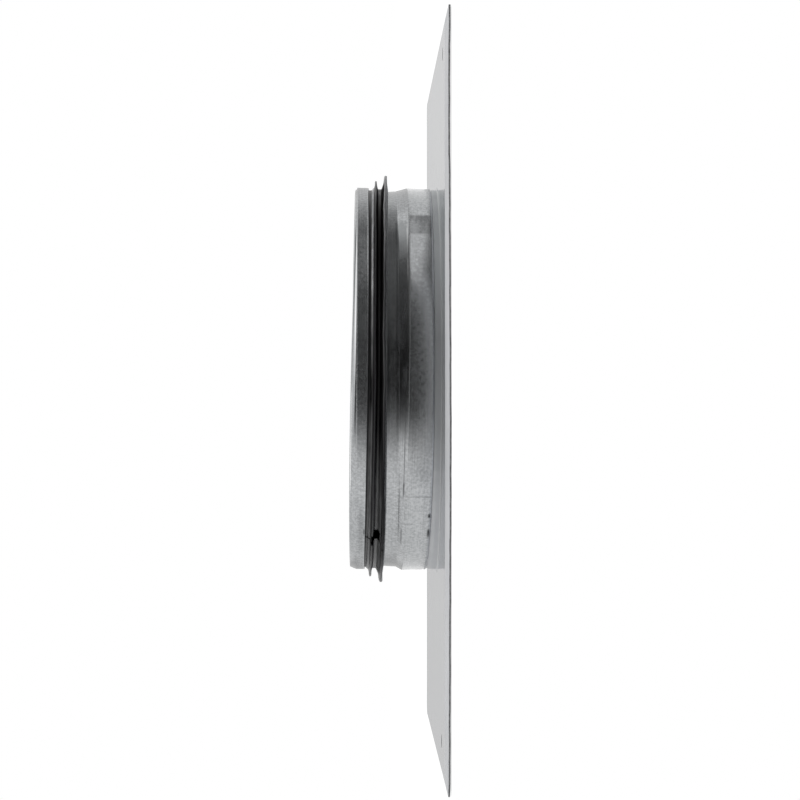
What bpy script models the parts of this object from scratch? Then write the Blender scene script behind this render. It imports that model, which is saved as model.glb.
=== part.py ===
"""Duct connector flange: a square galvanised plate with a round spigot collar and a double-lip seal.

The plate's back face lies in the plane z = 0 with its centre at the origin, and the collar stands out
along +Z, its axis set off from the plate's centre towards +X. Lengths are in metres.

The plate and the collar are sheet metal, so each is drawn as the surface midway through its sheet and
then thickened to both sides. Every turned section is a list of (radius, height) points about the
collar's axis, with heights measured from the plate's back face.
"""

import math

import bmesh
import bpy

# Clearance between pieces that touch
FIT = 0.0003

# Flange plate
PLATE_SIDE = 0.290
PLATE_SHEET = 0.0007
PLATE_CORNER_RADIUS = 0.003
SCREW_HOLE_DIAMETER = 0.0055
PLUS_X_HOLE_INSET = 0.009  # from the centre of the hole at +X to the plate's edge there
PLUS_X_HOLE_SIDE = 0.081  # from the plate's centre line to that hole, towards -Y
MINUS_X_HOLE_INSET = 0.0114  # the same two for the hole at -X
MINUS_X_HOLE_SIDE = 0.068
COLLAR_OFFSET = 0.0105  # from the plate's centre to the collar's axis

# Neck drawn up from the plate, which the collar's bell slides over
NECK_ROOT_RADIUS = 0.0015  # of the bend, on the plate's front
NECK_TOP_CLEARANCE = 0.0016  # from the neck's top to the bell's shoulder
NECK_FLAT = 0.001  # flat ring of the plate around the bend

# Spigot collar: a bell, a joggle down to the tube, and a band folded back at the mouth
COLLAR_SHEET = 0.0006
BELL_GAP = 0.0007  # from the top of the neck's bend to the bell's edge
BELL_LENGTH = 0.0112
BELL_TAPER = 0.0003  # by which the bell's radius falls towards its edge
JOGGLE_LENGTH = 0.0026
JOGGLE_RISE = 0.0013  # by which the bell's shoulder stands out from the tube
TUBE_FREE_LENGTH = 0.0054  # bare tube between the joggle and the seal
TUBE_TAPER = 0.0004  # by which the tube's radius falls towards the seal
TUBE_RADIUS = 0.0782  # outside, under the seal
BAND_WIDTH = 0.0067

# Lip seal: a strip around the tube with two lips, its tongue clamped under the folded band
SEAL_WIDTH = 0.0075  # of the strip that shows
SEAL_BASE = 0.0007
SEAL_TONGUE = 0.0004
SEAL_FRONT_LAND = 0.0010  # from the front lip's root to the band
REAR_LIP_HEIGHT = 0.0057
REAR_LIP_ROOT = 0.0027
REAR_LIP_SWEEP = 0.0012  # from the strip's rear edge to the lip's tip
FRONT_LIP_HEIGHT = 0.0036
FRONT_LIP_ROOT = 0.0013
FRONT_LIP_SWEEP = 0.0005  # from the front of the lip's root back to its tip
LIP_TIP_RADIUS = 0.0003
LIP_HOLLOW = 0.0002  # by which a lip's flanks curve in
SEAL_JOINT_GAP = 0.0008  # between the strip's two cut ends
SEAL_JOINT_BEARING = math.radians(-144.7)  # of that gap, about the collar's axis from +X

# Smoothness of round shapes
TURN_STEPS = 96
BEND_STEPS = 4
FOLD_STEPS = 8
JOGGLE_STEPS = 6
TIP_STEPS = 3
FLANK_STEPS = 3
CORNER_STEPS = 5
HOLE_STEPS = 20

# Heights and radii that follow from the sizes above
NECK_BEND_TOP = PLATE_SHEET + NECK_ROOT_RADIUS
BELL_EDGE = NECK_BEND_TOP + BELL_GAP
BELL_SHOULDER = BELL_EDGE + BELL_LENGTH
NECK_TOP = BELL_SHOULDER - NECK_TOP_CLEARANCE
TUBE_START = BELL_SHOULDER + JOGGLE_LENGTH
SEAL_REAR = TUBE_START + TUBE_FREE_LENGTH
SEAL_FRONT = SEAL_REAR + SEAL_WIDTH
BAND_EDGE = SEAL_FRONT + FIT
MOUTH = BAND_EDGE + BAND_WIDTH
TUBE_ROOT_RADIUS = TUBE_RADIUS + TUBE_TAPER
BELL_SHOULDER_RADIUS = TUBE_ROOT_RADIUS + JOGGLE_RISE
BELL_EDGE_RADIUS = BELL_SHOULDER_RADIUS - BELL_TAPER
NECK_RADIUS = BELL_EDGE_RADIUS - COLLAR_SHEET - FIT
HEM_GAP = SEAL_TONGUE + 2 * FIT
FOLD_HEIGHT = MOUTH - HEM_GAP / 2 - COLLAR_SHEET
SEAL_BORE_RADIUS = TUBE_RADIUS + FIT


def clear_scene():
    for thing in list(bpy.data.objects):
        bpy.data.objects.remove(thing)


def principled(name, colour, metallic, roughness):
    """A Principled material of one colour."""
    material = bpy.data.materials.new(name)
    material.use_nodes = True
    shader = material.node_tree.nodes["Principled BSDF"]
    shader.inputs["Base Color"].default_value = (*colour, 1.0)
    shader.inputs["Metallic"].default_value = metallic
    shader.inputs["Roughness"].default_value = roughness
    return material


def arc(centre, radius, start, end, steps):
    """Points of an arc in a plane, angles in degrees, both ends included."""
    points = []
    for i in range(steps + 1):
        angle = math.radians(start + (end - start) * i / steps)
        points.append((centre[0] + radius * math.cos(angle), centre[1] + radius * math.sin(angle)))
    return points


def hollow_line(start, end, hollow, steps):
    """Points inside a line that bows to its left by the given depth, without its ends."""
    run = (end[0] - start[0], end[1] - start[1])
    length = math.hypot(*run)
    points = []
    for i in range(1, steps):
        along = i / steps
        bow = 4 * hollow * along * (1 - along) / length
        points.append((start[0] + run[0] * along - run[1] * bow, start[1] + run[1] * along + run[0] * bow))
    return points


def add_wire(bm, points, closed):
    """A chain of vertices and edges through 3-D points."""
    verts = [bm.verts.new(point) for point in points]
    edges = [bm.edges.new(pair) for pair in zip(verts, verts[1:])]
    if closed:
        edges.append(bm.edges.new((verts[-1], verts[0])))
    return verts, edges


def turn(bm, section, closed, axis_x=0.0, start=0.0, sweep=math.tau):
    """Spins a (radius, height) section about the vertical line through (axis_x, 0)."""
    points = [(axis_x + r * math.cos(start), r * math.sin(start), z) for r, z in section]
    verts, edges = add_wire(bm, points, closed)
    centre = (axis_x, 0.0, 0.0)
    bmesh.ops.spin(bm, geom=verts + edges, cent=centre, axis=(0, 0, 1), angle=sweep, steps=TURN_STEPS)
    bmesh.ops.remove_doubles(bm, verts=bm.verts, dist=0.000001)


def finish_mesh(bm, name, material, parent):
    """Turns a bmesh into a smooth-shaded object under its parent."""
    mesh = bpy.data.meshes.new(name)
    bmesh.ops.recalc_face_normals(bm, faces=bm.faces)
    bm.to_mesh(mesh)
    bm.free()
    mesh.materials.append(material)
    piece = bpy.data.objects.new(name, mesh)
    piece.parent = parent
    bpy.context.collection.objects.link(piece)
    return piece


def shade_round(piece):
    piece.data.shade_smooth()
    piece.data.set_sharp_from_angle(angle=math.radians(35))


def thicken(piece, sheet):
    """Gives a mid-surface the thickness of its sheet, half to each side."""
    solidify = piece.modifiers.new("sheet", "SOLIDIFY")
    solidify.thickness = sheet
    solidify.offset = 0.0
    solidify.use_even_offset = True
    solidify.use_quality_normals = True
    graph = bpy.context.evaluated_depsgraph_get()
    thick = bpy.data.meshes.new_from_object(piece.evaluated_get(graph))
    piece.modifiers.clear()
    piece.data = thick
    shade_round(piece)


def plate_outline():
    """The plate's square outline with rounded corners."""
    reach = PLATE_SIDE / 2 - PLATE_CORNER_RADIUS
    points = []
    for quarter, (side_x, side_y) in enumerate([(1, 1), (-1, 1), (-1, -1), (1, -1)]):
        centre = (side_x * reach, side_y * reach)
        start = 90 * quarter
        points += arc(centre, PLATE_CORNER_RADIUS, start, start + 90, CORNER_STEPS)
    return points


def hole_centres():
    return [
        (PLATE_SIDE / 2 - PLUS_X_HOLE_INSET, -PLUS_X_HOLE_SIDE),
        (MINUS_X_HOLE_INSET - PLATE_SIDE / 2, -MINUS_X_HOLE_SIDE),
    ]


def neck_section():
    """The neck's mid-line, from the flat ring of the plate up through the bend to the neck's top."""
    mid_height = PLATE_SHEET / 2
    bend = NECK_ROOT_RADIUS + mid_height
    bend_centre = NECK_RADIUS + NECK_ROOT_RADIUS
    flat_edge = (bend_centre + NECK_FLAT, mid_height)
    curve = arc((bend_centre, NECK_BEND_TOP), bend, 270, 180, BEND_STEPS)
    return [flat_edge, *curve, (NECK_RADIUS - mid_height, NECK_TOP)]


def build_plate(material, parent):
    """The square sheet with its screw holes, and the neck drawn up around its opening."""
    bm = bmesh.new()
    turn(bm, neck_section(), closed=False, axis_x=COLLAR_OFFSET)
    mid_height = PLATE_SHEET / 2
    fill = [edge for edge in bm.edges if edge.is_boundary and edge.verts[0].co.z < NECK_BEND_TOP]
    fill += add_wire(bm, [(x, y, mid_height) for x, y in plate_outline()], closed=True)[1]
    for centre in hole_centres():
        rim = arc(centre, SCREW_HOLE_DIAMETER / 2, 0, 360, HOLE_STEPS)[:-1]
        fill += add_wire(bm, [(x, y, mid_height) for x, y in rim], closed=True)[1]
    bmesh.ops.triangle_fill(bm, use_beauty=True, edges=fill)
    plate = finish_mesh(bm, "flange_plate", material, parent)
    thicken(plate, PLATE_SHEET)


def joggle_section(mid):
    """The S-bend from the bell's shoulder in to the tube, without its ends."""
    points = []
    for i in range(1, JOGGLE_STEPS):
        along = i / JOGGLE_STEPS
        rise = JOGGLE_RISE * (1 + math.cos(math.pi * along)) / 2
        points.append((TUBE_ROOT_RADIUS + rise - mid, BELL_SHOULDER + JOGGLE_LENGTH * along))
    return points


def collar_section():
    """The collar's mid-line, from the bell's edge up the tube, round the fold and back down the band."""
    mid = COLLAR_SHEET / 2
    fold_radius = HEM_GAP / 2 + mid
    fold_centre = (TUBE_RADIUS + HEM_GAP / 2, FOLD_HEIGHT)
    return [
        (BELL_EDGE_RADIUS - mid, BELL_EDGE),
        (BELL_SHOULDER_RADIUS - mid, BELL_SHOULDER),
        *joggle_section(mid),
        (TUBE_ROOT_RADIUS - mid, TUBE_START),
        (TUBE_RADIUS - mid, SEAL_REAR),
        *arc(fold_centre, fold_radius, 180, 0, FOLD_STEPS),
        (fold_centre[0] + fold_radius, BAND_EDGE),
    ]


def build_collar(material, parent):
    bm = bmesh.new()
    turn(bm, collar_section(), closed=False)
    collar = finish_mesh(bm, "spigot_collar", material, parent)
    thicken(collar, COLLAR_SHEET)


def lip_section(root_rear, root_front, tip_height, reach):
    """One lip of the seal: hollow flanks from the strip's face out to a round tip."""
    face = SEAL_BORE_RADIUS + SEAL_BASE
    tip = arc((face + reach - LIP_TIP_RADIUS, tip_height), LIP_TIP_RADIUS, -90, 90, TIP_STEPS)
    rear = hollow_line((face, root_rear), tip[0], LIP_HOLLOW, FLANK_STEPS)
    front = hollow_line(tip[-1], (face, root_front), LIP_HOLLOW, FLANK_STEPS)
    return [(face, root_rear), *rear, *tip, *front, (face, root_front)]


def seal_section():
    """The seal's closed outline: the strip's bore, its two lips, and the tongue inside the folded band."""
    front_root = SEAL_FRONT - SEAL_FRONT_LAND
    rear_lip = lip_section(SEAL_REAR, SEAL_REAR + REAR_LIP_ROOT, SEAL_REAR + REAR_LIP_SWEEP, REAR_LIP_HEIGHT)
    front_lip = lip_section(
        front_root - FRONT_LIP_ROOT, front_root, front_root - FRONT_LIP_SWEEP, FRONT_LIP_HEIGHT
    )
    return [
        (SEAL_BORE_RADIUS, SEAL_REAR),
        *rear_lip,
        *front_lip,
        (SEAL_BORE_RADIUS + SEAL_BASE, SEAL_FRONT),
        (SEAL_BORE_RADIUS + SEAL_TONGUE, SEAL_FRONT),
        (SEAL_BORE_RADIUS + SEAL_TONGUE, FOLD_HEIGHT),
        (SEAL_BORE_RADIUS, FOLD_HEIGHT),
    ]


def build_seal(material, parent):
    """The strip laid round the tube, with its two cut ends facing each other across the joint."""
    half_gap = SEAL_JOINT_GAP / SEAL_BORE_RADIUS / 2
    bm = bmesh.new()
    turn(
        bm, seal_section(), closed=True,
        start=SEAL_JOINT_BEARING + half_gap, sweep=math.tau - 2 * half_gap,
    )
    bmesh.ops.holes_fill(bm, edges=[edge for edge in bm.edges if edge.is_boundary])
    seal = finish_mesh(bm, "lip_seal", material, parent)
    shade_round(seal)


def add_empty(name, parent, location):
    empty = bpy.data.objects.new(name, None)
    empty.parent = parent
    empty.location = location
    bpy.context.collection.objects.link(empty)
    return empty


clear_scene()
galvanised = principled("galvanised_steel", (0.60, 0.61, 0.62), 1.0, 0.32)
rubber = principled("seal_rubber", (0.02, 0.02, 0.021), 0.0, 0.55)
flange = add_empty("connector_flange", None, (0, 0, 0))
collar_axis = add_empty("collar_axis", flange, (COLLAR_OFFSET, 0, 0))
build_plate(galvanised, flange)
build_collar(galvanised, collar_axis)
build_seal(rubber, collar_axis)
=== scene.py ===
"""The duct connector flange, dressed and lit for its portrait.

The plate, the collar and the seal are built one after another, as the part is put together, and each
takes the place of its plain solid. Lengths are in metres in the part's own frame: the plate lies in
the plane z = 0 and the collar stands along +Z.
"""

import math

import bpy
import numpy as np
from mathutils import Matrix, Vector


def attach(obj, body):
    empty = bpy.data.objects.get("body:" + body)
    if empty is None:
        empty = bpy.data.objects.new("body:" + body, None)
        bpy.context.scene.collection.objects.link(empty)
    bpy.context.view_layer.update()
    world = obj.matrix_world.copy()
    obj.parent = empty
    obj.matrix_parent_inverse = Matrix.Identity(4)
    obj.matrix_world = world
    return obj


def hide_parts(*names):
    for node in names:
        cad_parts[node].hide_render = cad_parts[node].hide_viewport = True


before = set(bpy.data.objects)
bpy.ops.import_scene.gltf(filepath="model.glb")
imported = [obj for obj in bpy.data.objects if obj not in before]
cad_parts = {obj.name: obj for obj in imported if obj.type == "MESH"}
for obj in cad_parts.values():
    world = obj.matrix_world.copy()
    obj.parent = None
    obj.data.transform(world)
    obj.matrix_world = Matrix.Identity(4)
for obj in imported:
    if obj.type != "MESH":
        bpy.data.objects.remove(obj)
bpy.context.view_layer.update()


# Flange plate
# A square of hot-dip galvanised sheet, sheared from coil, its corners nipped round and two screw
# holes pierced near its edges. Its middle is drawn up into a short round neck that carries the collar.
# It has sprung slightly in handling, so its front edge bows and its back corners lift.

PLATE_SIDE = 0.290
PLATE_SHEET = 0.0007
NEAR_CORNER, FAR_CORNER = 0.0016, 0.0075
COLLAR_X = 0.0105
HOLE_RADIUS = 0.00275
HOLE_PLACES = np.array([[0.1360, -0.0810], [-0.1336, -0.0680]])
HOLE_WINDOWS = [(0.13125, 0.14125, -0.0875, -0.0750), (-0.13875, -0.1275, -0.07375, -0.0625)]
NECK_WINDOW = (-0.0775, 0.0975, -0.0875, 0.0875)
NECK_WALL, NECK_ROOT = 0.0788, 0.0793
NECK_BEND = 0.00095
NECK_TOP = 0.0124
TAPER_FROM, TAPER_TO = 0.0028, 0.0052
BOW_FROM, CURL_FROM = 0.084, 0.134
RULING = 0.00125
SATIN_EDGE = -0.1061
DARK_ZINC, PALE_ZINC = (0.555, 0.575, 0.61, 1), (0.675, 0.69, 0.725, 1)
DARK_SATIN, PALE_SATIN = (0.59, 0.60, 0.615, 1), (0.735, 0.74, 0.755, 1)
# The neck's colours are painted shade: darkest across its middle, in front of the collar, and lighter
# towards -X and +X.
NECK_PAINTED_SHADE, NECK_PAINTED_LIGHT_MINUS_X = (0.39, 0.40, 0.405, 1), (0.52, 0.53, 0.54, 1)
NECK_PAINTED_LIGHT_PLUS_X = (0.62, 0.64, 0.645, 1)
DARK_CUT, BRIGHT_CUT = (0.12, 0.12, 0.125, 1), (0.30, 0.305, 0.31, 1)
HOLE_BLACK = (0.01, 0.01, 0.01, 1)


def grid_quads(rows, columns, wrap):
    """The quads of a grid of points counted row by row; with wrap, the last column joins the first."""
    across = columns if wrap else columns - 1
    row, column = np.meshgrid(np.arange(rows - 1), np.arange(across), indexing="ij")
    here = row * columns + column
    there = row * columns + (column + 1) % columns
    return np.stack([here, there, there + columns, here + columns], axis=-1).reshape(-1, 4)


def join_patches(patches):
    """One set of points and quads from several, points less than a micrometre apart made one."""
    starts = np.cumsum([0] + [len(points) for points, _ in patches[:-1]])
    points = np.concatenate([points for points, _ in patches])
    quads = np.concatenate([quads + start for (_, quads), start in zip(patches, starts)])
    _, first, same = np.unique(np.round(points * 1e6), axis=0, return_index=True, return_inverse=True)
    return points[first], same.reshape(-1)[quads]


def make_piece(name, points, quads, body, node):
    """A smooth mesh object from points and quads, standing for its solid on its body."""
    mesh = bpy.data.meshes.new(name)
    mesh.from_pydata(points.tolist(), [], quads.tolist())
    mesh.shade_smooth()
    piece = bpy.data.objects.new(name, mesh)
    bpy.context.scene.collection.objects.link(piece)
    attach(piece, body)
    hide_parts(node)
    return piece


def window_rim(lines, window):
    """The points of the sheet's ruled lines on a window's four sides, in turn and anticlockwise."""
    west, east, south, north = window
    across = lines[(lines > west - 1e-6) & (lines < east + 1e-6)]
    along = lines[(lines > south - 1e-6) & (lines < north + 1e-6)]
    sides = [
        np.stack([across[:-1], np.full(len(across) - 1, south)], axis=1),
        np.stack([np.full(len(along) - 1, east), along[:-1]], axis=1),
        np.stack([across[:0:-1], np.full(len(across) - 1, north)], axis=1),
        np.stack([np.full(len(along) - 1, west), along[:0:-1]], axis=1),
    ]
    return np.concatenate(sides)


def round_window(lines, window, centre, section, shares):
    """A patch between a round opening and a square window in the sheet.

    Its first rings are the section's circles, each a radius and a height. The rest lie between the last
    circle and the window's rim, at the given shares of the way out.
    """
    rim = window_rim(lines, window)
    bearing = np.arctan2(rim[:, 1] - centre[1], rim[:, 0] - centre[0])
    ray = np.stack([np.cos(bearing), np.sin(bearing)], axis=1)
    circles = centre + section[:, 0, None, None] * ray
    blends = circles[-1] + shares[:, None, None] * (rim - circles[-1])
    flat = np.concatenate([circles, blends])
    heights = np.concatenate([section[:, 1], np.zeros(len(shares))])
    rings = np.concatenate([flat, np.broadcast_to(heights[:, None, None], flat[..., :1].shape)], axis=2)
    return rings.reshape(-1, 3), grid_quads(len(rings), len(rim), True)[:, ::-1]


def nip_corners(points):
    """Rounds the plate's corners: in each corner's square, a point moves towards the square's inner
    corner by the ratio of its longer coordinate to its distance, which turns the square into a fan."""
    nip = np.where(points[:, 1] < 0, NEAR_CORNER, FAR_CORNER)[:, None]
    inner = PLATE_SIDE / 2 - nip
    past = np.clip(np.abs(points[:, :2]) - inner, 0, None)
    reach = np.maximum(np.hypot(past[:, 0], past[:, 1]), 1e-9)
    drawn_in = past * (past.max(axis=1) / reach)[:, None]
    both = (past.min(axis=1) > 0)[:, None]
    points[:, :2] = np.where(both, np.sign(points[:, :2]) * (inner + drawn_in), points[:, :2])
    return points


def spring_plate(points):
    """Bends the sheet. Its front edge lies a little low, sags in the middle and rises past the collar's
    +X side, both by humps that fall off as e to the minus square, and rises again at the -X end by a
    square. All that fades out towards the collar. The back corners curl up, and three sines make the
    front edge waver."""
    x, y = points[:, 0], points[:, 1]
    near = np.clip((-y - BOW_FROM) / (PLATE_SIDE / 2 - BOW_FROM), 0, 1) ** 1.5
    sag = 0.00026 * np.exp(-(((x + 0.015) / 0.050) ** 2))
    rise = 0.00026 * np.exp(-(((x - 0.108) / 0.030) ** 2))
    end_rise = 0.00022 * (np.clip(-x - 0.070, 0, None) / 0.075) ** 2
    bow = near * (rise - sag - 0.00020 + end_rise)
    to_side, to_back = np.clip((np.stack([np.abs(x), y]) - CURL_FROM) / (PLATE_SIDE / 2 - CURL_FROM), 0, 1)
    curl = 0.00012 * to_side**2 * to_back
    waver = near * 0.00003 * (np.sin(210 * x + 0.6) + np.sin(480 * x + 2.0) + 0.5 * np.sin(1130 * x))
    points[:, 2] += bow + curl + waver
    return points


# The sheet is ruled both ways, twice as closely where the screw holes lie, and closest at its edge.
ruled = np.r_[0:46:2, 46:62, 62:104:2, 104:114] * RULING
ruled = np.concatenate([ruled, np.linspace(PLATE_SIDE / 2 - 0.003, PLATE_SIDE / 2, 5)])
lines = np.concatenate([-ruled[:0:-1], ruled])
grid_x, grid_y = np.meshgrid(lines, lines, indexing="ij")
sheet_points = np.stack([grid_y, grid_x, np.zeros_like(grid_x)], axis=-1).reshape(-1, 3)
sheet_quads = grid_quads(len(lines), len(lines), False)
cells = sheet_points[sheet_quads].mean(axis=1)

kept = np.ones(len(cells), bool)
for west, east, south, north in [NECK_WINDOW, *HOLE_WINDOWS]:
    inside_x = (cells[:, 0] > west) & (cells[:, 0] < east)
    kept &= ~(inside_x & (cells[:, 1] > south) & (cells[:, 1] < north))

turn = np.linspace(0, math.pi / 2, 10)
bend = np.stack([NECK_ROOT + NECK_BEND * (1 - np.cos(turn)), NECK_BEND * (1 - np.sin(turn))], axis=1)
wall_height = np.concatenate([np.linspace(NECK_TOP, 0.0054, 5), np.linspace(0.0048, 0.0014, 8)])
wall_radius = np.interp(wall_height, [TAPER_FROM, TAPER_TO], [NECK_ROOT, NECK_WALL])
neck_section = np.concatenate([np.stack([wall_radius, wall_height], axis=1), bend])
hole_section = np.array([[HOLE_RADIUS, 0.0]])
patches = [
    (sheet_points, sheet_quads[kept]),
    round_window(lines, NECK_WINDOW, np.array([COLLAR_X, 0]), neck_section, np.linspace(0.12, 1, 6)),
]
for window, middle in zip(HOLE_WINDOWS, HOLE_PLACES):
    patches.append(round_window(lines, window, middle, hole_section, np.array([0.2, 0.55, 1.0])))
plate_points, plate_quads = join_patches(patches)
plate_points = spring_plate(nip_corners(plate_points))
plate_points[:, 2] += PLATE_SHEET / 2

plate = make_piece("plate_sheet", plate_points, plate_quads, "root", "flange_plate")
gauge = plate.modifiers.new("gauge", "SOLIDIFY")
gauge.thickness = PLATE_SHEET
gauge.offset = 0
gauge.use_even_offset = True
gauge.use_quality_normals = True
gauge.material_offset_rim = 1
edges = plate.modifiers.new("sheared_edges", "BEVEL")
edges.width = 0.00007
edges.segments = 2
edges.limit_method = "ANGLE"
edges.angle_limit = math.radians(50)
edges.harden_normals = True


def put_node(tree, kind, inputs=(), **settings):
    """Adds a shader node. Each input is a name or number with its value, or the output to join it to."""
    made = tree.nodes.new(kind)
    for key, value in settings.items():
        setattr(made, key, value)
    for key, value in dict(inputs).items():
        if isinstance(value, bpy.types.NodeSocket):
            tree.links.new(value, made.inputs[key])
        else:
            made.inputs[key].default_value = value
    return made


def calculate(tree, operation, *values):
    """One step of arithmetic on numbers and outputs."""
    return put_node(tree, "ShaderNodeMath", enumerate(values), operation=operation).outputs[0]


def add_up(tree, first, *rest):
    """The sum of several numbers and outputs."""
    return calculate(tree, "ADD", first, add_up(tree, *rest)) if rest else first


def spread(tree, value, low, high, to_low, to_high):
    """Maps a value's range onto another, held at both ends."""
    given = {"Value": value, "From Min": low, "From Max": high, "To Min": to_low, "To Max": to_high}
    return put_node(tree, "ShaderNodeMapRange", given).outputs["Result"]


def blend_colours(tree, share, first, second):
    """Mixes two colours, each a value or an output, by a share from 0 to 1."""
    mixed = put_node(tree, "ShaderNodeMix", {0: share}, data_type="RGBA")
    for key, value in ((6, first), (7, second)):
        if isinstance(value, bpy.types.NodeSocket):
            tree.links.new(value, mixed.inputs[key])
        else:
            mixed.inputs[key].default_value = value
    return mixed.outputs[2]


def start_finish(name):
    """An empty material with its surface shader, and the place where a pattern is read."""
    material = bpy.data.materials.new(name)
    material.use_nodes = True
    tree = material.node_tree
    tree.nodes.clear()
    surface = put_node(tree, "ShaderNodeBsdfPrincipled")
    output = put_node(tree, "ShaderNodeOutputMaterial")
    tree.links.new(surface.outputs[0], output.inputs["Surface"])
    place = put_node(tree, "ShaderNodeTexCoord")
    return material, tree, surface, place


def stretched(tree, vector, scale):
    """A pattern's coordinates, scaled along each axis."""
    return put_node(tree, "ShaderNodeMapping", {"Vector": vector, "Scale": scale}).outputs[0]


def soft_patch(tree, across, along, west, east, south, north, soft, ends=None):
    """A rectangle on two coordinates: 1 inside, 0 outside, its sides and its ends as soft as given."""
    ends = soft if ends is None else ends
    sides = [
        spread(tree, across, west - ends, west + ends, 0.0, 1.0),
        spread(tree, across, east - ends, east + ends, 1.0, 0.0),
        spread(tree, along, south - soft, south + soft, 0.0, 1.0),
        spread(tree, along, north - soft, north + soft, 1.0, 0.0),
    ]
    one_way = calculate(tree, "MINIMUM", sides[0], sides[1])
    return calculate(tree, "MULTIPLY", one_way, calculate(tree, "MINIMUM", sides[2], sides[3]))


def coil_zinc():
    """Hot-dip zinc on coil: small frosted crystals in slightly different greys and faint rolling streaks
    along X, glossier at a low angle. A satin band runs along the coil's edge at the front, and the
    drawn neck is duller than the flat. The neck's colour holds painted shade, and the satin band is
    darkened in front of the collar by a painted reflection of it."""
    finish, tree, surface, place = start_finish("coil_zinc")
    at = place.outputs["Object"]
    crystals = put_node(tree, "ShaderNodeTexVoronoi", {"Vector": at, "Scale": 330.0})
    tint = put_node(tree, "ShaderNodeSeparateColor", {0: crystals.outputs["Color"]})
    grain = put_node(tree, "ShaderNodeTexNoise", {"Vector": at, "Scale": 1400.0, "Detail": 3.0})
    clouds = put_node(tree, "ShaderNodeTexNoise", {"Vector": at, "Scale": 26.0, "Detail": 3.0})
    lengthwise = stretched(tree, at, (14, 900, 900))
    rolled = put_node(tree, "ShaderNodeTexNoise", {"Vector": lengthwise, "Scale": 1.0, "Detail": 2.0})
    spot = put_node(tree, "ShaderNodeSeparateXYZ", {0: at})
    x, y = spot.outputs["X"], spot.outputs["Y"]
    coil_edge = spread(tree, y, SATIN_EDGE - 0.0011, SATIN_EDGE + 0.0011, 1.0, 0.0)
    off_axis = put_node(tree, "ShaderNodeVectorMath", {0: at, 1: (COLLAR_X, 0, 0)}, operation="SUBTRACT")
    sideways = put_node(
        tree, "ShaderNodeVectorMath", {0: off_axis.outputs[0], 1: (1, 1, 0)}, operation="MULTIPLY"
    )
    from_axis = put_node(tree, "ShaderNodeVectorMath", {0: sideways.outputs[0]}, operation="LENGTH")
    drawn = spread(tree, from_axis.outputs["Value"], 0.0800, 0.0812, 1.0, 0.0)

    lightness = add_up(
        tree,
        spread(tree, tint.outputs[0], 0.0, 1.0, 0.0, 0.30),
        spread(tree, clouds.outputs[0], 0.3, 0.7, 0.0, 0.45),
        spread(tree, rolled.outputs[0], 0.3, 0.7, 0.0, 0.25),
    )
    metal = blend_colours(tree, lightness, DARK_ZINC, PALE_ZINC)
    # Painted shade on the drawn neck: dark in the middle, lighter towards +X and -X.
    neck = blend_colours(tree, spread(tree, x, 0.025, 0.060, 0.0, 1.0), NECK_PAINTED_SHADE, NECK_PAINTED_LIGHT_PLUS_X)
    neck = blend_colours(tree, spread(tree, x, -0.040, -0.010, 1.0, 0.0), neck, NECK_PAINTED_LIGHT_MINUS_X)
    metal = blend_colours(tree, drawn, metal, neck)
    # Painted reflection of the collar: the satin band is darkened in front of it.
    painted_collar_reflection = soft_patch(tree, x, y, -0.035, 0.020, -0.2, 0.0, 0.012)
    lightness = calculate(tree, "SUBTRACT", lightness, calculate(tree, "MULTIPLY", painted_collar_reflection, 0.35))
    satin = blend_colours(tree, lightness, DARK_SATIN, PALE_SATIN)
    tree.links.new(blend_colours(tree, coil_edge, metal, satin), surface.inputs["Base Color"])
    full_rough = add_up(
        tree,
        spread(tree, tint.outputs[1], 0.0, 1.0, 0.22, 0.32),
        spread(tree, grain.outputs[0], 0.3, 0.7, 0.0, 0.06),
    )
    low_angle = put_node(tree, "ShaderNodeLayerWeight", {"Blend": 0.5}).outputs["Facing"]
    glossier = calculate(tree, "MULTIPLY", full_rough, spread(tree, low_angle, 0.75, 0.97, 1.0, 0.30))
    duller = calculate(
        tree,
        "MAXIMUM",
        calculate(tree, "MULTIPLY", coil_edge, 0.40),
        calculate(tree, "MULTIPLY", drawn, 0.22),
    )
    tree.links.new(calculate(tree, "ADD", glossier, duller), surface.inputs["Roughness"])
    clouded = calculate(tree, "MAXIMUM", coil_edge, calculate(tree, "MULTIPLY", drawn, 0.55))
    tree.links.new(spread(tree, clouded, 0.0, 1.0, 1.0, 0.10), surface.inputs["Metallic"])
    tree.links.new(spread(tree, coil_edge, 0.0, 1.0, 0.5, 0.0), surface.inputs["Specular IOR Level"])
    crystal_relief = {"Strength": 0.08, "Distance": 0.00003, "Height": grain.outputs[0]}
    relief = put_node(tree, "ShaderNodeBump", crystal_relief)
    tree.links.new(relief.outputs[0], surface.inputs["Normal"])
    return finish


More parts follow.
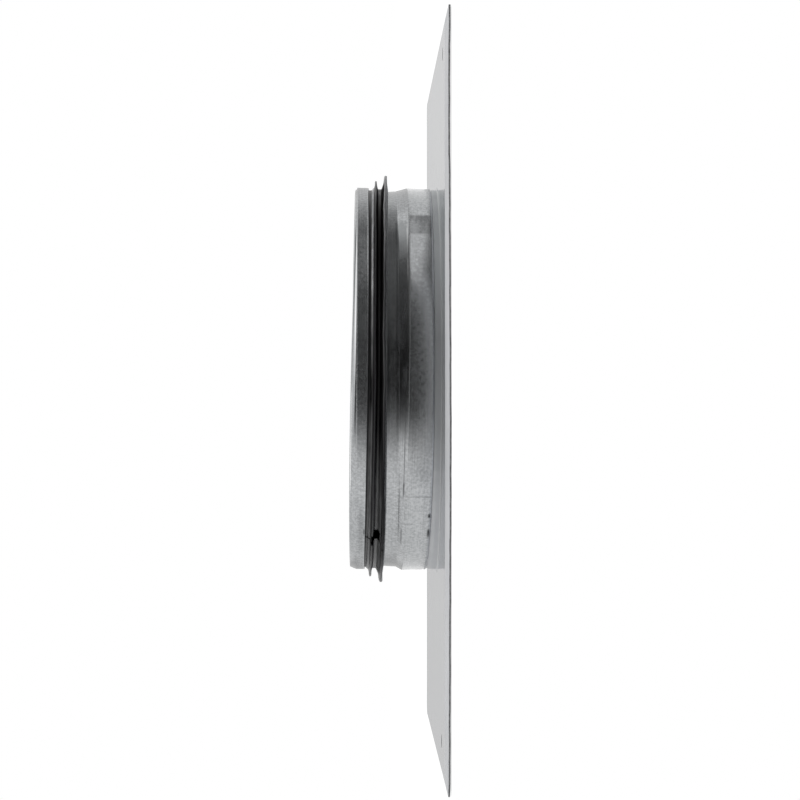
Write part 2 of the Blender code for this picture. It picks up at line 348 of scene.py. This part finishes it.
def sheared_steel():
    """A sheared edge: half bright cut steel and half dull break, with dark nicks along it. The screw
    hole at -X is blackened inside."""
    finish, tree, surface, place = start_finish("sheared_steel")
    at = place.outputs["Object"]
    nicks = put_node(tree, "ShaderNodeTexNoise", {"Vector": at, "Scale": 420.0, "Detail": 4.0})
    through = stretched(tree, at, (2600, 2600, 300))
    scored = put_node(tree, "ShaderNodeTexNoise", {"Vector": through, "Scale": 1.0})
    worn = calculate(tree, "MULTIPLY", nicks.outputs[0], scored.outputs[0])
    steel = blend_colours(tree, spread(tree, worn, 0.15, 0.36, 0.0, 1.0), DARK_CUT, BRIGHT_CUT)
    spot = put_node(tree, "ShaderNodeSeparateXYZ", {0: at})
    # The inside of the screw hole at -X is coloured black.
    west, south = HOLE_PLACES[1] - 1.5 * HOLE_RADIUS
    east, north = HOLE_PLACES[1] + 1.5 * HOLE_RADIUS
    hole_blackened = soft_patch(tree, spot.outputs["X"], spot.outputs["Y"], west, east, south, north, 0.0005)
    tree.links.new(blend_colours(tree, hole_blackened, steel, HOLE_BLACK), surface.inputs["Base Color"])
    tree.links.new(spread(tree, nicks.outputs[0], 0.3, 0.7, 0.42, 0.62), surface.inputs["Roughness"])
    surface.inputs["Metallic"].default_value = 0.75
    scores = {"Strength": 0.35, "Distance": 0.00008, "Height": scored.outputs[0]}
    relief = put_node(tree, "ShaderNodeBump", scores)
    tree.links.new(relief.outputs[0], surface.inputs["Normal"])
    return finish


plate.data.materials.append(coil_zinc())
plate.data.materials.append(sheared_steel())


# Spigot collar
# A ring of thinner galvanised strip. Its bell is pushed over the plate's neck, a joggle brings it in
# to the tube, and its mouth is folded outwards and pressed down to clamp the seal. It leans about a
# degree, and the bell stands off the plate further at one side.

COLLAR_SHEET = 0.0006
COLLAR_STEPS, ROUND_STEPS = 480, 4
BELL_FROM, JOGGLE_FROM, JOGGLE_TO, SEAL_FROM = 0.0029, 0.0134, 0.0175, 0.0221
BAND_EDGE, ROLL_FROM, MOUTH = 0.0299, 0.0341, 0.0357
BELL_RADIUS, CREASE_RADIUS, FOOT_RADIUS = 0.07964, 0.07988, 0.07855
TUBE_RADIUS, MOUTH_RADIUS, FOLD_RADIUS = 0.0783, 0.0782, 0.0004
FOLD_MIDDLE = MOUTH_RADIUS + FOLD_RADIUS
SHOULDER = np.array([0.07968, 0.0347])
BAND_TOP_RADIUS, BAND_EDGE_RADIUS = 0.07979, 0.07975
CORNER = 0.0001
STAND_OFF_FADE = 0.0112
MAP_RADIUS = 0.080
DARK_STRIP, PALE_STRIP = (0.29, 0.30, 0.305, 1), (0.52, 0.53, 0.54, 1)
# The dark colour is for marks and painted shade; the bright one is for painted highlights.
DARK_MARK_AND_SHADE, PAINTED_HIGHLIGHT = (0.030, 0.031, 0.033, 1), (0.92, 0.925, 0.93, 1)


def straight(start, end, steps):
    """Points on a line, without its start."""
    return np.linspace(start, end, steps + 1)[1:]


def collar_wall():
    """The line midway through the strip, as radius and height, from the bell's edge to the band's.

    The bell flares evenly up to a crease; the joggle slopes in from it to a foot. The points of both
    lie close together, so that the corners stay sharp on the smooth mesh. The tube narrows to the seal
    and then hardly more; the mouth turns over a half circle and slopes out to the band, weighted
    (1-t)^2, 2t(1-t) and t^2 between three points.
    """
    t = np.linspace(0, 1, 11)[1:, None]
    bell = straight((BELL_RADIUS, BELL_FROM - CORNER), (CREASE_RADIUS, JOGGLE_FROM - CORNER), 14)
    crease = (CREASE_RADIUS, JOGGLE_FROM) + CORNER * np.array([[0, -0.3], [0, 0.3], [-0.3, 1]])
    foot = (FOOT_RADIUS, JOGGLE_TO) + CORNER * np.array([[0.33, -1], [0, 0], [-0.06, 1]])
    joggle = np.concatenate([crease, straight(crease[-1], foot[0], 10), foot[1:]])
    waist = (TUBE_RADIUS, SEAL_FROM)
    tube = np.concatenate([straight(joggle[-1], waist, 8), straight(waist, (MOUTH_RADIUS, MOUTH), 8)])
    around = np.linspace(0, math.pi, 9)[1:]
    turned = (FOLD_MIDDLE, MOUTH) + FOLD_RADIUS * np.stack([-np.cos(around), np.sin(around)], axis=1)
    slope = (1 - t) ** 2 * turned[-1] + 2 * t * (1 - t) * SHOULDER
    slope += t**2 * np.array([BAND_TOP_RADIUS, ROLL_FROM])
    band = straight(slope[-1], (BAND_EDGE_RADIUS, BAND_EDGE), 8)
    return np.concatenate([bell, joggle, tube, turned, slope, band])


def give_gauge(line, sheet, round_steps):
    """The closed outline of a sheet around its middle line: the line moved half the sheet's thickness
    to each side along its normal, and the two ends joined by half circles."""
    slope = np.gradient(line, axis=0)
    slope /= np.linalg.norm(slope, axis=1)[:, None]
    normal = np.stack([slope[:, 1], -slope[:, 0]], axis=1)
    swing = np.linspace(0, math.pi, round_steps + 2)[1:-1, None]
    far_end = line[-1] + sheet / 2 * (normal[-1] * np.cos(swing) + slope[-1] * np.sin(swing))
    near_end = line[0] - sheet / 2 * (normal[0] * np.cos(swing) + slope[0] * np.sin(swing))
    outer = line + normal * sheet / 2
    inner = line - normal * sheet / 2
    return np.concatenate([outer, far_end, inner[::-1], near_end])


def lean(radius, height, bearing):
    """Settles the collar and what it carries: radius, height and bearing become x, y and z.

    The height drops towards +X by a tilt that grows evenly with height, and the axis drifts towards
    +X by a little and by the sum of that tilt over the ring's radius. Below the joggle the drop fades
    into the bell's own stand-off, which is 0.4 mm and 1.8 mm times the fifth power of half of one less
    the cosine of the bearing, so it is largest at -X.
    """
    above = height - PLATE_SHEET
    to_plus_x = np.cos(bearing)
    tilt = 0.00036 + 0.0343 * above
    stand_off = 0.00040 + 0.0018 * ((1 - to_plus_x) / 2) ** 5
    share = np.clip((height - BELL_FROM) / STAND_OFF_FADE, 0, 1)
    z = height + share * (-tilt * to_plus_x) + (1 - share) * stand_off
    drift = 0.00015 + 0.0045 * above + 0.215 * above**2
    return np.stack([COLLAR_X + drift + radius * to_plus_x, radius * np.sin(bearing), z], axis=-1)


collar_line = collar_wall()
collar_outline = give_gauge(collar_line, COLLAR_SHEET, ROUND_STEPS)
bearing = np.linspace(0.5 * math.pi, 2.5 * math.pi, COLLAR_STEPS, endpoint=False)
radius = np.repeat(collar_outline[:, :1], COLLAR_STEPS, axis=1)
height = np.repeat(collar_outline[:, 1:], COLLAR_STEPS, axis=1)

# The formed edges waver around the ring: each wave is how far its edge stands up, by the bearing.
to_x, to_front = np.cos(bearing), -np.sin(bearing)
low_quarter = np.clip(-2 * to_x * to_front, 0, 1) ** 2
mouth_wave = -0.00050 + 0.00057 * to_x + 0.00009 * to_front - 0.00016 * low_quarter
mouth_wave += 0.00051 * to_front**2 - 0.00090 * to_x * to_front
roll_wave = 0.0014 * to_x
crease_wave = 0.00095 * to_x**2 - 0.00025 * to_x
tube_wave = 0.00045 * to_x**2 + 0.00095 * to_x
band_wave = 0.00048 + 0.00056 * to_x - 0.00018 * to_x * to_front - 0.00049 * to_front**2
on_band = (radius > FOLD_MIDDLE) & (height > BAND_EDGE - COLLAR_SHEET)
to_roll = np.clip((height - BAND_EDGE) / (ROLL_FROM - BAND_EDGE), 0, 1)
to_mouth = np.clip((height - ROLL_FROM) / (MOUTH - ROLL_FROM), 0, 1)
wall_wave = np.interp(height, [BELL_FROM, JOGGLE_FROM, JOGGLE_TO], [0, 1, 0]) * crease_wave
wall_wave += np.interp(height, [JOGGLE_FROM, JOGGLE_TO, SEAL_FROM], [0, 1, 0]) * tube_wave
height = height + (1 - to_roll) * np.where(on_band, band_wave, 0) + wall_wave
height = height + to_roll * ((1 - to_mouth) * roll_wave + to_mouth * mouth_wave)
collar_points = lean(radius, height, bearing).reshape(-1, 3)
collar_quads = grid_quads(len(collar_outline), COLLAR_STEPS, True)
closing = grid_quads(2, COLLAR_STEPS, True)
last_ring = (len(collar_outline) - 1) * COLLAR_STEPS
closing = np.where(closing < COLLAR_STEPS, closing + last_ring, closing - COLLAR_STEPS)
collar_quads = np.concatenate([collar_quads, closing])[:, ::-1]
collar = make_piece("collar_ring", collar_points, collar_quads, "root", "spigot_collar")


def lay_pattern_map(piece, around, along):
    """Gives a turned piece a map in metres: the way around it from its front side towards +X, and the
    way along its outline. Over the seam at the back the way around runs on past half a turn."""
    mesh = piece.data
    corners = np.zeros(len(mesh.loops), int)
    mesh.loops.foreach_get("vertex_index", corners)
    u, v = around[corners].reshape(-1, 4), along[corners].reshape(-1, 4)
    turn = 2 * math.pi * MAP_RADIUS
    u = np.where(u.max(axis=1, keepdims=True) - u > turn / 2, u + turn, u)
    layer = mesh.uv_layers.new(name="pattern")
    layer.data.foreach_set("uv", np.stack([u, v], axis=-1).reshape(-1).astype(np.float32))


def run_along(line):
    """The way along a line to each of its points."""
    return np.concatenate([[0], np.cumsum(np.linalg.norm(np.diff(line, axis=0), axis=1))])


line_points = len(collar_line)
inside_from = line_points + ROUND_STEPS
up_the_outside = run_along(collar_outline[:line_points])
band_edge = np.full(ROUND_STEPS, -0.0004)
over_the_mouth = -0.0006 - run_along(collar_outline[inside_from : inside_from + line_points])
collar_along = np.concatenate([up_the_outside, band_edge, over_the_mouth, np.zeros(ROUND_STEPS)])
collar_around = (bearing - 1.5 * math.pi) * MAP_RADIUS
lay_pattern_map(
    collar, np.tile(collar_around, len(collar_outline)), np.repeat(collar_along, COLLAR_STEPS)
)


def gather_marks(tree, u, v, marks):
    """The strongest of several soft patches at each place of the map. Each mark is its strength, its
    west, east, south and north sides, and how soft its sides and its ends are."""
    strongest = 0.0
    for strength, *patch in marks:
        mark = calculate(tree, "MULTIPLY", soft_patch(tree, u, v, *patch), strength)
        strongest = calculate(tree, "MAXIMUM", strongest, mark)
    return strongest


# Painted shade in the joggle and painted shadow lines in its crease, a darker patch and thin marks on
# the bell, painted shadow along the bell's edge, in places in dark spots, darker patches low at -X on
# the bell, and on the band a painted shaded stripe and a dark mark.
DARK_MARKS_AND_PAINTED_SHADE = [
    (0.62, -0.018, 0.046, 0.0107, 0.0153, 0.0004, 0.012),
    (0.75, -0.052, -0.010, 0.0114, 0.0117, 0.0003, 0.006),
    (0.95, -0.0520, -0.0445, 0.0112, 0.0119, 0.0003, 0.0012),
    (0.55, 0.0634, 0.0762, 0.0, 0.0097, 0.0006, 0.0007),
    (0.45, -0.0518, -0.0514, 0.0, 0.0115, 0.0004, 0.0004),
    (0.40, -0.0668, -0.0664, 0.0070, 0.0118, 0.0004, 0.0004),
    (0.65, -0.0810, -0.0705, 0.0117, 0.0125, 0.0005, 0.0020),
    (0.65, -0.0169, 0.0330, 0.0, 0.0003, 0.0002, 0.004),
    (1.40, -0.0628, -0.0606, 0.0001, 0.0010, 0.0003, 0.0005),
    (1.40, -0.0755, -0.0700, 0.0001, 0.0009, 0.0004, 0.0012),
    (0.85, 0.1050, 0.1300, 0.0, 0.0006, 0.0003, 0.0020),
    (0.80, -0.1300, -0.1140, 0.0012, 0.0046, 0.0005, 0.0015),
    (0.80, -0.1300, -0.1140, 0.0062, 0.0108, 0.0005, 0.0015),
    (0.42, -0.0850, -0.0600, -0.0042, -0.0012, 0.0010, 0.006),
    (0.95, -0.0742, -0.0702, -0.0017, -0.0006, 0.0003, 0.0010),
]

# Painted highlights: bright lines on the mouth, the crease and the bell's edge.
PAINTED_HIGHLIGHTS = [
    (1.00, 0.0070, 0.0600, -0.0060, -0.0052, 0.0004, 0.012),
    (0.90, -0.0480, -0.0060, -0.0070, -0.0067, 0.0002, 0.004),
    (0.95, 0.0400, 0.0500, 0.0105, 0.0108, 0.0003, 0.002),
    (0.35, 0.0500, 0.0680, 0.0105, 0.0108, 0.0003, 0.002),
    (0.40, 0.0391, 0.0682, 0.0, 0.0002, 0.0002, 0.003),
]


def rolled_zinc():
    """Zinc on roll-formed strip: thin streaks around the ring left by the rolls, and a fine mottle of
    frosted spots, strong towards -X, far round at +X and on the band. The ring is painted lighter in
    front than at its sides, with painted shade in the joggle, painted shadow at the bell's edge and the
    band's edge, and painted highlights on the mouth, the crease and the bell's edge; a few darker
    patches and thin marks lie on the bell and the band. On the map, v counts up from the bell's edge on
    the outside, and down from 0.6 mm below nought at the band's edge over the mouth into the bore."""
    finish, tree, surface, place = start_finish("rolled_zinc")
    at = place.outputs["Object"]
    map_at = place.outputs["UV"]
    spot = put_node(tree, "ShaderNodeSeparateXYZ", {0: map_at})
    u, v = spot.outputs["X"], spot.outputs["Y"]
    mottle = put_node(tree, "ShaderNodeTexNoise", {"Vector": at, "Scale": 900.0, "Detail": 3.0})
    spots = put_node(tree, "ShaderNodeTexVoronoi", {"Vector": at, "Scale": 700.0})
    fine_lines, patches = stretched(tree, map_at, (22, 2400, 1)), stretched(tree, map_at, (70, 160, 1))
    streaks = put_node(tree, "ShaderNodeTexNoise", {"Vector": fine_lines, "Scale": 1.0, "Detail": 3.0})
    smears = put_node(tree, "ShaderNodeTexNoise", {"Vector": patches, "Scale": 1.0, "Detail": 4.0})
    on_band = soft_patch(tree, u, v, -0.5, 0.5, -0.0050, -0.0005, 0.0002)
    frosted = calculate(
        tree, "MAXIMUM", spread(tree, u, -0.034, -0.018, 1.0, 0.25), spread(tree, u, 0.062, 0.070, 0.0, 0.9)
    )
    grain = calculate(tree, "MAXIMUM", frosted, calculate(tree, "MULTIPLY", on_band, 0.8))
    mottled = calculate(tree, "MULTIPLY", grain, spread(tree, mottle.outputs[0], 0.35, 0.65, -0.26, 0.26))
    # Painted shade darkens the joggle on a stretch towards +X, and the ring is painted lighter in front than
    # at its sides.
    joggle_painted_shade = soft_patch(tree, u, v, 0.0570, 0.0715, 0.0108, 0.0152, 0.0005, 0.003)
    ring_shade = add_up(
        tree,
        spread(tree, u, -0.100, -0.050, 0.0, 0.30),
        spread(tree, u, 0.070, 0.090, 0.0, -0.30),
        calculate(tree, "MULTIPLY", joggle_painted_shade, -0.75),
    )
    lightness = add_up(
        tree,
        mottled,
        ring_shade,
        spread(tree, streaks.outputs[0], 0.3, 0.7, 0.0, 0.32),
        spread(tree, smears.outputs[0], 0.3, 0.7, 0.0, 0.16),
    )
    metal = blend_colours(tree, lightness, DARK_STRIP, PALE_STRIP)

    uneven = spread(tree, smears.outputs[0], 0.35, 0.60, 0.45, 1.0)
    # These marks are mostly painted shade in the joggle and along the bell's edge, with a few darker patches
    # and thin marks.
    marks_and_shade = calculate(tree, "MULTIPLY", gather_marks(tree, u, v, DARK_MARKS_AND_PAINTED_SHADE), uneven)
    # Painted shade along the band's lower edge, all the way round.
    band_edge_painted_shade = soft_patch(tree, u, v, -0.5, 0.5, -0.0007, -0.0003, 0.0001)
    marks_and_shade = calculate(tree, "MAXIMUM", marks_and_shade, calculate(tree, "MULTIPLY", band_edge_painted_shade, 0.95))
    metal = blend_colours(tree, marks_and_shade, metal, DARK_MARK_AND_SHADE)
    # Painted highlights on the mouth, the crease and the bell's edge.
    metal = blend_colours(tree, gather_marks(tree, u, v, PAINTED_HIGHLIGHTS), metal, PAINTED_HIGHLIGHT)
    tree.links.new(metal, surface.inputs["Base Color"])
    tree.links.new(spread(tree, marks_and_shade, 0.4, 0.9, 1.0, 0.0), surface.inputs["Metallic"])
    surface.inputs["Specular IOR Level"].default_value = 0.1
    rough = add_up(
        tree,
        spread(tree, spots.outputs["Distance"], 0.0, 0.7, 0.08, 0.14),
        spread(tree, smears.outputs[0], 0.3, 0.7, 0.0, 0.04),
        calculate(tree, "MULTIPLY", on_band, 0.08),
    )
    tree.links.new(rough, surface.inputs["Roughness"])
    dimpled = calculate(tree, "MULTIPLY", calculate(tree, "POWER", frosted, 2.0), 0.25)
    dimples = put_node(
        tree, "ShaderNodeBump", {"Strength": dimpled, "Distance": 0.00004, "Height": mottle.outputs[0]}
    )
    lines_relief = put_node(
        tree,
        "ShaderNodeBump",
        {"Strength": 0.06, "Distance": 0.00003, "Height": streaks.outputs[0], "Normal": dimples.outputs[0]},
    )
    tree.links.new(lines_relief.outputs[0], surface.inputs["Normal"])
    return finish


collar.data.materials.append(rolled_zinc())


# Lip seal
# An open ring of extruded black rubber: a thin strip around the tube, its front tongue under the
# folded band, with a low lip in front and a taller one behind that press against the duct. Its two
# cut ends almost meet low on the front side.

SEAL_STEPS = 500
SEAL_BORE = 0.0788
SEAL_FACE = 0.0796
TONGUE_FACE, TONGUE_END = 0.0791, 0.0354
LIP_FROM, LIP_REACH = 0.0805, 0.0045
JOINT_BEARING = math.radians(-145.1)
JOINT_GAP = 0.0008
DEEP_BLACK, WORN_BLACK = (0.004, 0.004, 0.0045, 1), (0.012, 0.012, 0.013, 1)
# The pale colour of the painted sheen and the dust.
PALE_DUST_AND_SHEEN = (0.95, 0.96, 0.97, 1)


def soften(corners, reach, steps):
    """Rounds a closed polygon: each corner gives way to a curve that leaves one side and joins the
    next at the given reach from the corner, weighted (1-t)^2, 2t(1-t) and t^2."""
    before = np.roll(corners, 1, axis=0) - corners
    after = np.roll(corners, -1, axis=0) - corners
    start = corners + before * (reach / np.linalg.norm(before, axis=1))[:, None]
    end = corners + after * (reach / np.linalg.norm(after, axis=1))[:, None]
    t = np.linspace(0, 1, steps)[None, :, None]
    curve = (1 - t) ** 2 * start[:, None] + 2 * t * (1 - t) * corners[:, None] + t**2 * end[:, None]
    return curve.reshape(-1, 2)


seal_corners = np.array(
    [
        [SEAL_BORE, SEAL_FROM],
        [0.0792, SEAL_FROM],
        [0.0822, 0.0226],
        [0.0853, 0.0227],
        [0.0854, 0.0236],
        [0.0822, 0.0241],
        [SEAL_FACE, 0.0250],
        [SEAL_FACE, 0.0265],
        [0.0810, 0.0269],
        [0.0830, 0.0271],
        [0.0831, 0.0277],
        [0.0812, 0.0279],
        [0.0803, 0.0281],
        [TONGUE_FACE, 0.0293],
        [TONGUE_FACE, TONGUE_END],
        [SEAL_BORE, TONGUE_END],
    ]
)
seal_reach = np.array([2, 1.5, 5, 3, 3, 5, 4, 3, 3, 2, 2, 3, 2, 2, 1, 1]) * 1e-4
seal_outline = soften(seal_corners, seal_reach, 5)
half_gap = JOINT_GAP / 2 / MAP_RADIUS
seal_bearing = np.linspace(JOINT_BEARING + half_gap, JOINT_BEARING + 2 * math.pi - half_gap, SEAL_STEPS)
seal_radius = np.repeat(seal_outline[:, :1], SEAL_STEPS, axis=1)
seal_height = np.repeat(seal_outline[:, 1:], SEAL_STEPS, axis=1)

# On the front side each lip wavers in its own way, and both ripple all the way round.
lip_share = np.clip((seal_radius - LIP_FROM) / LIP_REACH, 0, 1)
to_x, to_front = np.cos(seal_bearing), -np.sin(seal_bearing)
rear_wave = 0.00020 * to_front**2 + 0.0008 * to_x * to_front
front_wave = -0.00045 * to_front**2 + 0.0006 * to_x * to_front
seal_height += np.interp(seal_height, [0.0240, 0.0262], [1, 0]) * np.where(to_front > 0, rear_wave, 0)
front_share = np.interp(seal_height, [0.0250, 0.0266, 0.0290, 0.0340], [0, 1, 1, 0])
seal_height += front_share * np.where(to_front > 0, front_wave, 0)
ripple = np.sin(9 * seal_bearing + 1.0) + 0.7 * np.sin(17 * seal_bearing)
ripple += 0.4 * np.sin(41 * seal_bearing + 2.0)
seal_height += lip_share * 0.00012 * ripple
seal_radius += lip_share * 0.00008 * np.roll(ripple, 25)
seal_points = lean(seal_radius, seal_height, seal_bearing).reshape(-1, 3)
seal_quads = grid_quads(len(seal_outline), SEAL_STEPS, False)
seal_last = (len(seal_outline) - 1) * SEAL_STEPS
seal_closing = grid_quads(2, SEAL_STEPS, False)
seal_closing = np.where(seal_closing < SEAL_STEPS, seal_closing + seal_last, seal_closing - SEAL_STEPS)
seal_quads = np.concatenate([seal_quads, seal_closing])[:, ::-1]
seal = make_piece("seal_ring", seal_points, seal_quads, "root", "lip_seal")
past_the_back = np.where(seal_bearing < 0.5 * math.pi, 2 * math.pi, 0)
seal_around = (seal_bearing - 1.5 * math.pi + past_the_back) * MAP_RADIUS
lay_pattern_map(
    seal, np.tile(seal_around, len(seal_outline)), np.repeat(run_along(seal_outline), SEAL_STEPS)
)

# Pale marks: painted sheen on the land under the band and on the rear lip's front edge, painted
# light in the lower channel, and dust greying the channel further past the joint.
DUST_AND_SHEEN_MARKS = [
    (0.85, 0.025, 0.200, 0.0219, 0.0229, 0.0002, 0.012),
    (0.35, 0.008, 0.200, 0.0219, 0.0229, 0.0002, 0.010),
    (0.14, -0.200, -0.016, 0.0219, 0.0234, 0.0002, 0.006),
    (0.30, 0.050, 0.200, 0.0070, 0.0084, 0.0003, 0.012),
    (0.08, -0.010, 0.200, 0.0071, 0.0078, 0.0003, 0.010),
    (0.150, -0.200, -0.036, 0.0100, 0.0166, 0.0006, 0.014),
    (0.120, -0.200, -0.0776, 0.0120, 0.0166, 0.0004, 0.0004),
]


def black_rubber():
    """Extruded black rubber: satin, with a fine grain. Painted sheen lies pale on the land under the band
    and on the rear lip's front edge, and painted light on the lower channel; the strip is greyer past
    the joint, and the joint itself is painted black and matt as painted shade, wider than its gap.
    On the map, v counts from the bore over the rear lip, the channel and the front lip."""
    finish, tree, surface, place = start_finish("black_rubber")
    at = place.outputs["Object"]
    map_at = place.outputs["UV"]
    spot = put_node(tree, "ShaderNodeSeparateXYZ", {0: map_at})
    u, v = spot.outputs["X"], spot.outputs["Y"]
    grain = put_node(tree, "ShaderNodeTexNoise", {"Vector": at, "Scale": 1500.0, "Detail": 3.0})
    drawn_out = stretched(tree, map_at, (120, 700, 1))
    bloom = put_node(tree, "ShaderNodeTexNoise", {"Vector": drawn_out, "Scale": 1.0, "Detail": 4.0})
    uneven = spread(tree, bloom.outputs[0], 0.35, 0.60, 0.6, 1.15)
    # Painted sheen and painted light on the land, the rear lip and the lower channel, with dust past the
    # joint.
    dust_and_sheen = calculate(tree, "MULTIPLY", gather_marks(tree, u, v, DUST_AND_SHEEN_MARKS), uneven)
    # Painted shade at the joint: black and without gloss, wider than the gap itself.
    joint_painted_shade = soft_patch(tree, u, v, -0.0772, -0.0708, 0.0110, 0.0195, 0.0005)
    dull_channel = soft_patch(tree, u, v, 0.035, 0.200, 0.0088, 0.0180, 0.0008, 0.015)
    dull_lip = soft_patch(tree, u, v, -0.0950, -0.030, 0.0020, 0.0120, 0.0006, 0.010)
    dull = calculate(tree, "MAXIMUM", dull_channel, dull_lip)
    dull = calculate(tree, "MAXIMUM", calculate(tree, "MULTIPLY", dull, 0.75), joint_painted_shade)
    worn = spread(tree, bloom.outputs[0], 0.35, 0.75, 0.0, 1.0)
    rubber = blend_colours(tree, worn, DEEP_BLACK, WORN_BLACK)
    rubber = blend_colours(tree, dust_and_sheen, rubber, PALE_DUST_AND_SHEEN)
    tree.links.new(blend_colours(tree, joint_painted_shade, rubber, (0.0, 0.0, 0.0, 1)), surface.inputs["Base Color"])
    tree.links.new(spread(tree, dull, 0.0, 1.0, 0.5, 0.0), surface.inputs["Specular IOR Level"])
    tree.links.new(spread(tree, bloom.outputs[0], 0.3, 0.7, 0.28, 0.45), surface.inputs["Roughness"])
    fine_grain = {"Strength": 0.25, "Distance": 0.00005, "Height": grain.outputs[0]}
    relief = put_node(tree, "ShaderNodeBump", fine_grain)
    tree.links.new(relief.outputs[0], surface.inputs["Normal"])
    return finish


seal.data.materials.append(black_rubber())


# Floor
# A plain white table top that the plate lies on, its front edge just before the plate's. It looks
# white from every side and keeps the soft shadow of the part.

FLOOR_HEIGHT = -0.00055
FLOOR_CORNERS = [(-0.9, -0.16), (0.35, -0.16), (0.35, 1.4), (-0.9, 1.4)]

floor_mesh = bpy.data.meshes.new("floor")
floor_mesh.from_pydata([(x, y, FLOOR_HEIGHT) for x, y in FLOOR_CORNERS], [], [(0, 1, 2, 3)])
floor = bpy.data.objects.new("floor", floor_mesh)
bpy.context.scene.collection.objects.link(floor)

paper = bpy.data.materials.new("white_paper")
paper.use_nodes = True
tree = paper.node_tree
tree.nodes.clear()
matt = put_node(tree, "ShaderNodeBsdfDiffuse", {"Color": (0.85, 0.85, 0.85, 1)})
dimmed = put_node(tree, "ShaderNodeBsdfDiffuse", {"Color": (0.34, 0.34, 0.34, 1)})
glow = put_node(tree, "ShaderNodeEmission", {"Color": (1, 1, 1, 1), "Strength": 0.78})
lifted = put_node(tree, "ShaderNodeAddShader", {0: dimmed.outputs[0], 1: glow.outputs[0]})
ray = put_node(tree, "ShaderNodeLightPath")
seen = calculate(tree, "MAXIMUM", ray.outputs["Is Camera Ray"], ray.outputs["Is Glossy Ray"])
seen = calculate(tree, "MAXIMUM", seen, ray.outputs["Is Transmission Ray"])
look = put_node(tree, "ShaderNodeMixShader", {0: seen, 1: matt.outputs[0], 2: lifted.outputs[0]})
put_node(tree, "ShaderNodeOutputMaterial", {"Surface": look.outputs[0]})
floor.data.materials.append(paper)


# Studio
# A white sweep around and over the part, dark near the floor on the camera's side and towards +X, and
# dark again there between 20 and 43 degrees up, which is what the collar's dark half mirrors. A faint
# light comes from below. The backdrop that is seen is plain white.

# How bright the dark part of the room is, by heading: degrees from the camera's side towards +X.
ROOM = [
    (-180, 0.60), (-150, 0.62), (-130, 1.0), (-60, 1.0), (-50, 0.85), (-36, 0.42), (-22, 0.12), (-8, 0.035),
    (15, 0.025), (40, 0.08), (60, 0.12), (98, 0.145), (118, 0.45), (135, 0.85), (150, 0.75), (180, 0.66),
]

world = bpy.data.worlds.new("studio")
world.use_nodes = True
bpy.context.scene.world = world
tree = world.node_tree
tree.nodes.clear()
way = put_node(tree, "ShaderNodeSeparateXYZ", {0: put_node(tree, "ShaderNodeTexCoord").outputs["Generated"]})
forwards = calculate(tree, "MULTIPLY", way.outputs["Y"], -1.0)
heading = calculate(tree, "ARCTAN2", way.outputs["X"], forwards)
around_room = put_node(tree, "ShaderNodeValToRGB", {0: spread(tree, heading, -math.pi, math.pi, 0.0, 1.0)})
stops = around_room.color_ramp.elements
while len(stops) < len(ROOM):
    stops.new(0.5)
for stop, (degrees, level) in zip(stops, ROOM):
    stop.position = (degrees + 180) / 360
    stop.color = (level, level, level, 1)

# The climb is the sine of the angle up.
climb = way.outputs["Z"]
near_floor = spread(tree, climb, 0.17, 0.24, 1.0, 0.0)
beam = soft_patch(tree, heading, climb, -0.80, 2.15, 0.350, 0.68, 0.03, 0.22)
unlit = calculate(tree, "MAXIMUM", near_floor, beam)
level = put_node(tree, "ShaderNodeMix", {0: unlit, 2: 1.0, 3: around_room.outputs["Color"]}).outputs[0]
level = calculate(tree, "MAXIMUM", level, spread(tree, climb, -0.07, -0.02, 0.10, 0.0))
ray = put_node(tree, "ShaderNodeLightPath")
backdrop_seen = calculate(tree, "MAXIMUM", ray.outputs["Is Camera Ray"], ray.outputs["Is Transmission Ray"])
sweep = put_node(tree, "ShaderNodeBackground", {"Color": (1, 1, 1, 1), "Strength": 1.0})
room = put_node(tree, "ShaderNodeBackground", {"Color": (1, 1, 1, 1), "Strength": level})
look = put_node(tree, "ShaderNodeMixShader", {0: backdrop_seen, 1: room.outputs[0], 2: sweep.outputs[0]})
put_node(tree, "ShaderNodeOutputWorld", {"Surface": look.outputs[0]})


# Camera
# It stands just over a metre in front of the plate's edge, a little above the plate's face, rolled a
# quarter turn so that +X is up.

CAMERA_PLACE = (-0.0131, -1.079, 0.034)
PICTURE_PIXELS, LENS_PIXELS = 800, 2560.0

# It looks along +Y, turned aside by so many pixels of the photograph towards +X and +Z.
AIM_X_PIXELS, AIM_Z_PIXELS = 35.7, -42.8

lens = bpy.data.cameras.new("portrait")
lens.sensor_width = 36
lens.lens = lens.sensor_width * LENS_PIXELS / PICTURE_PIXELS
lens.clip_start, lens.clip_end = 0.05, 40
forward = Vector((AIM_X_PIXELS, LENS_PIXELS, AIM_Z_PIXELS)).normalized()
up = (Vector((1, 0, 0)) - forward * forward.x).normalized()
right = forward.cross(up)
camera = bpy.data.objects.new("portrait", lens)
bpy.context.scene.collection.objects.link(camera)
facing = Matrix((right, up, -forward)).transposed().to_4x4()
camera.matrix_world = Matrix.Translation(CAMERA_PLACE) @ facing
bpy.context.scene.camera = camera
bpy.context.scene.view_settings.view_transform = "Standard"
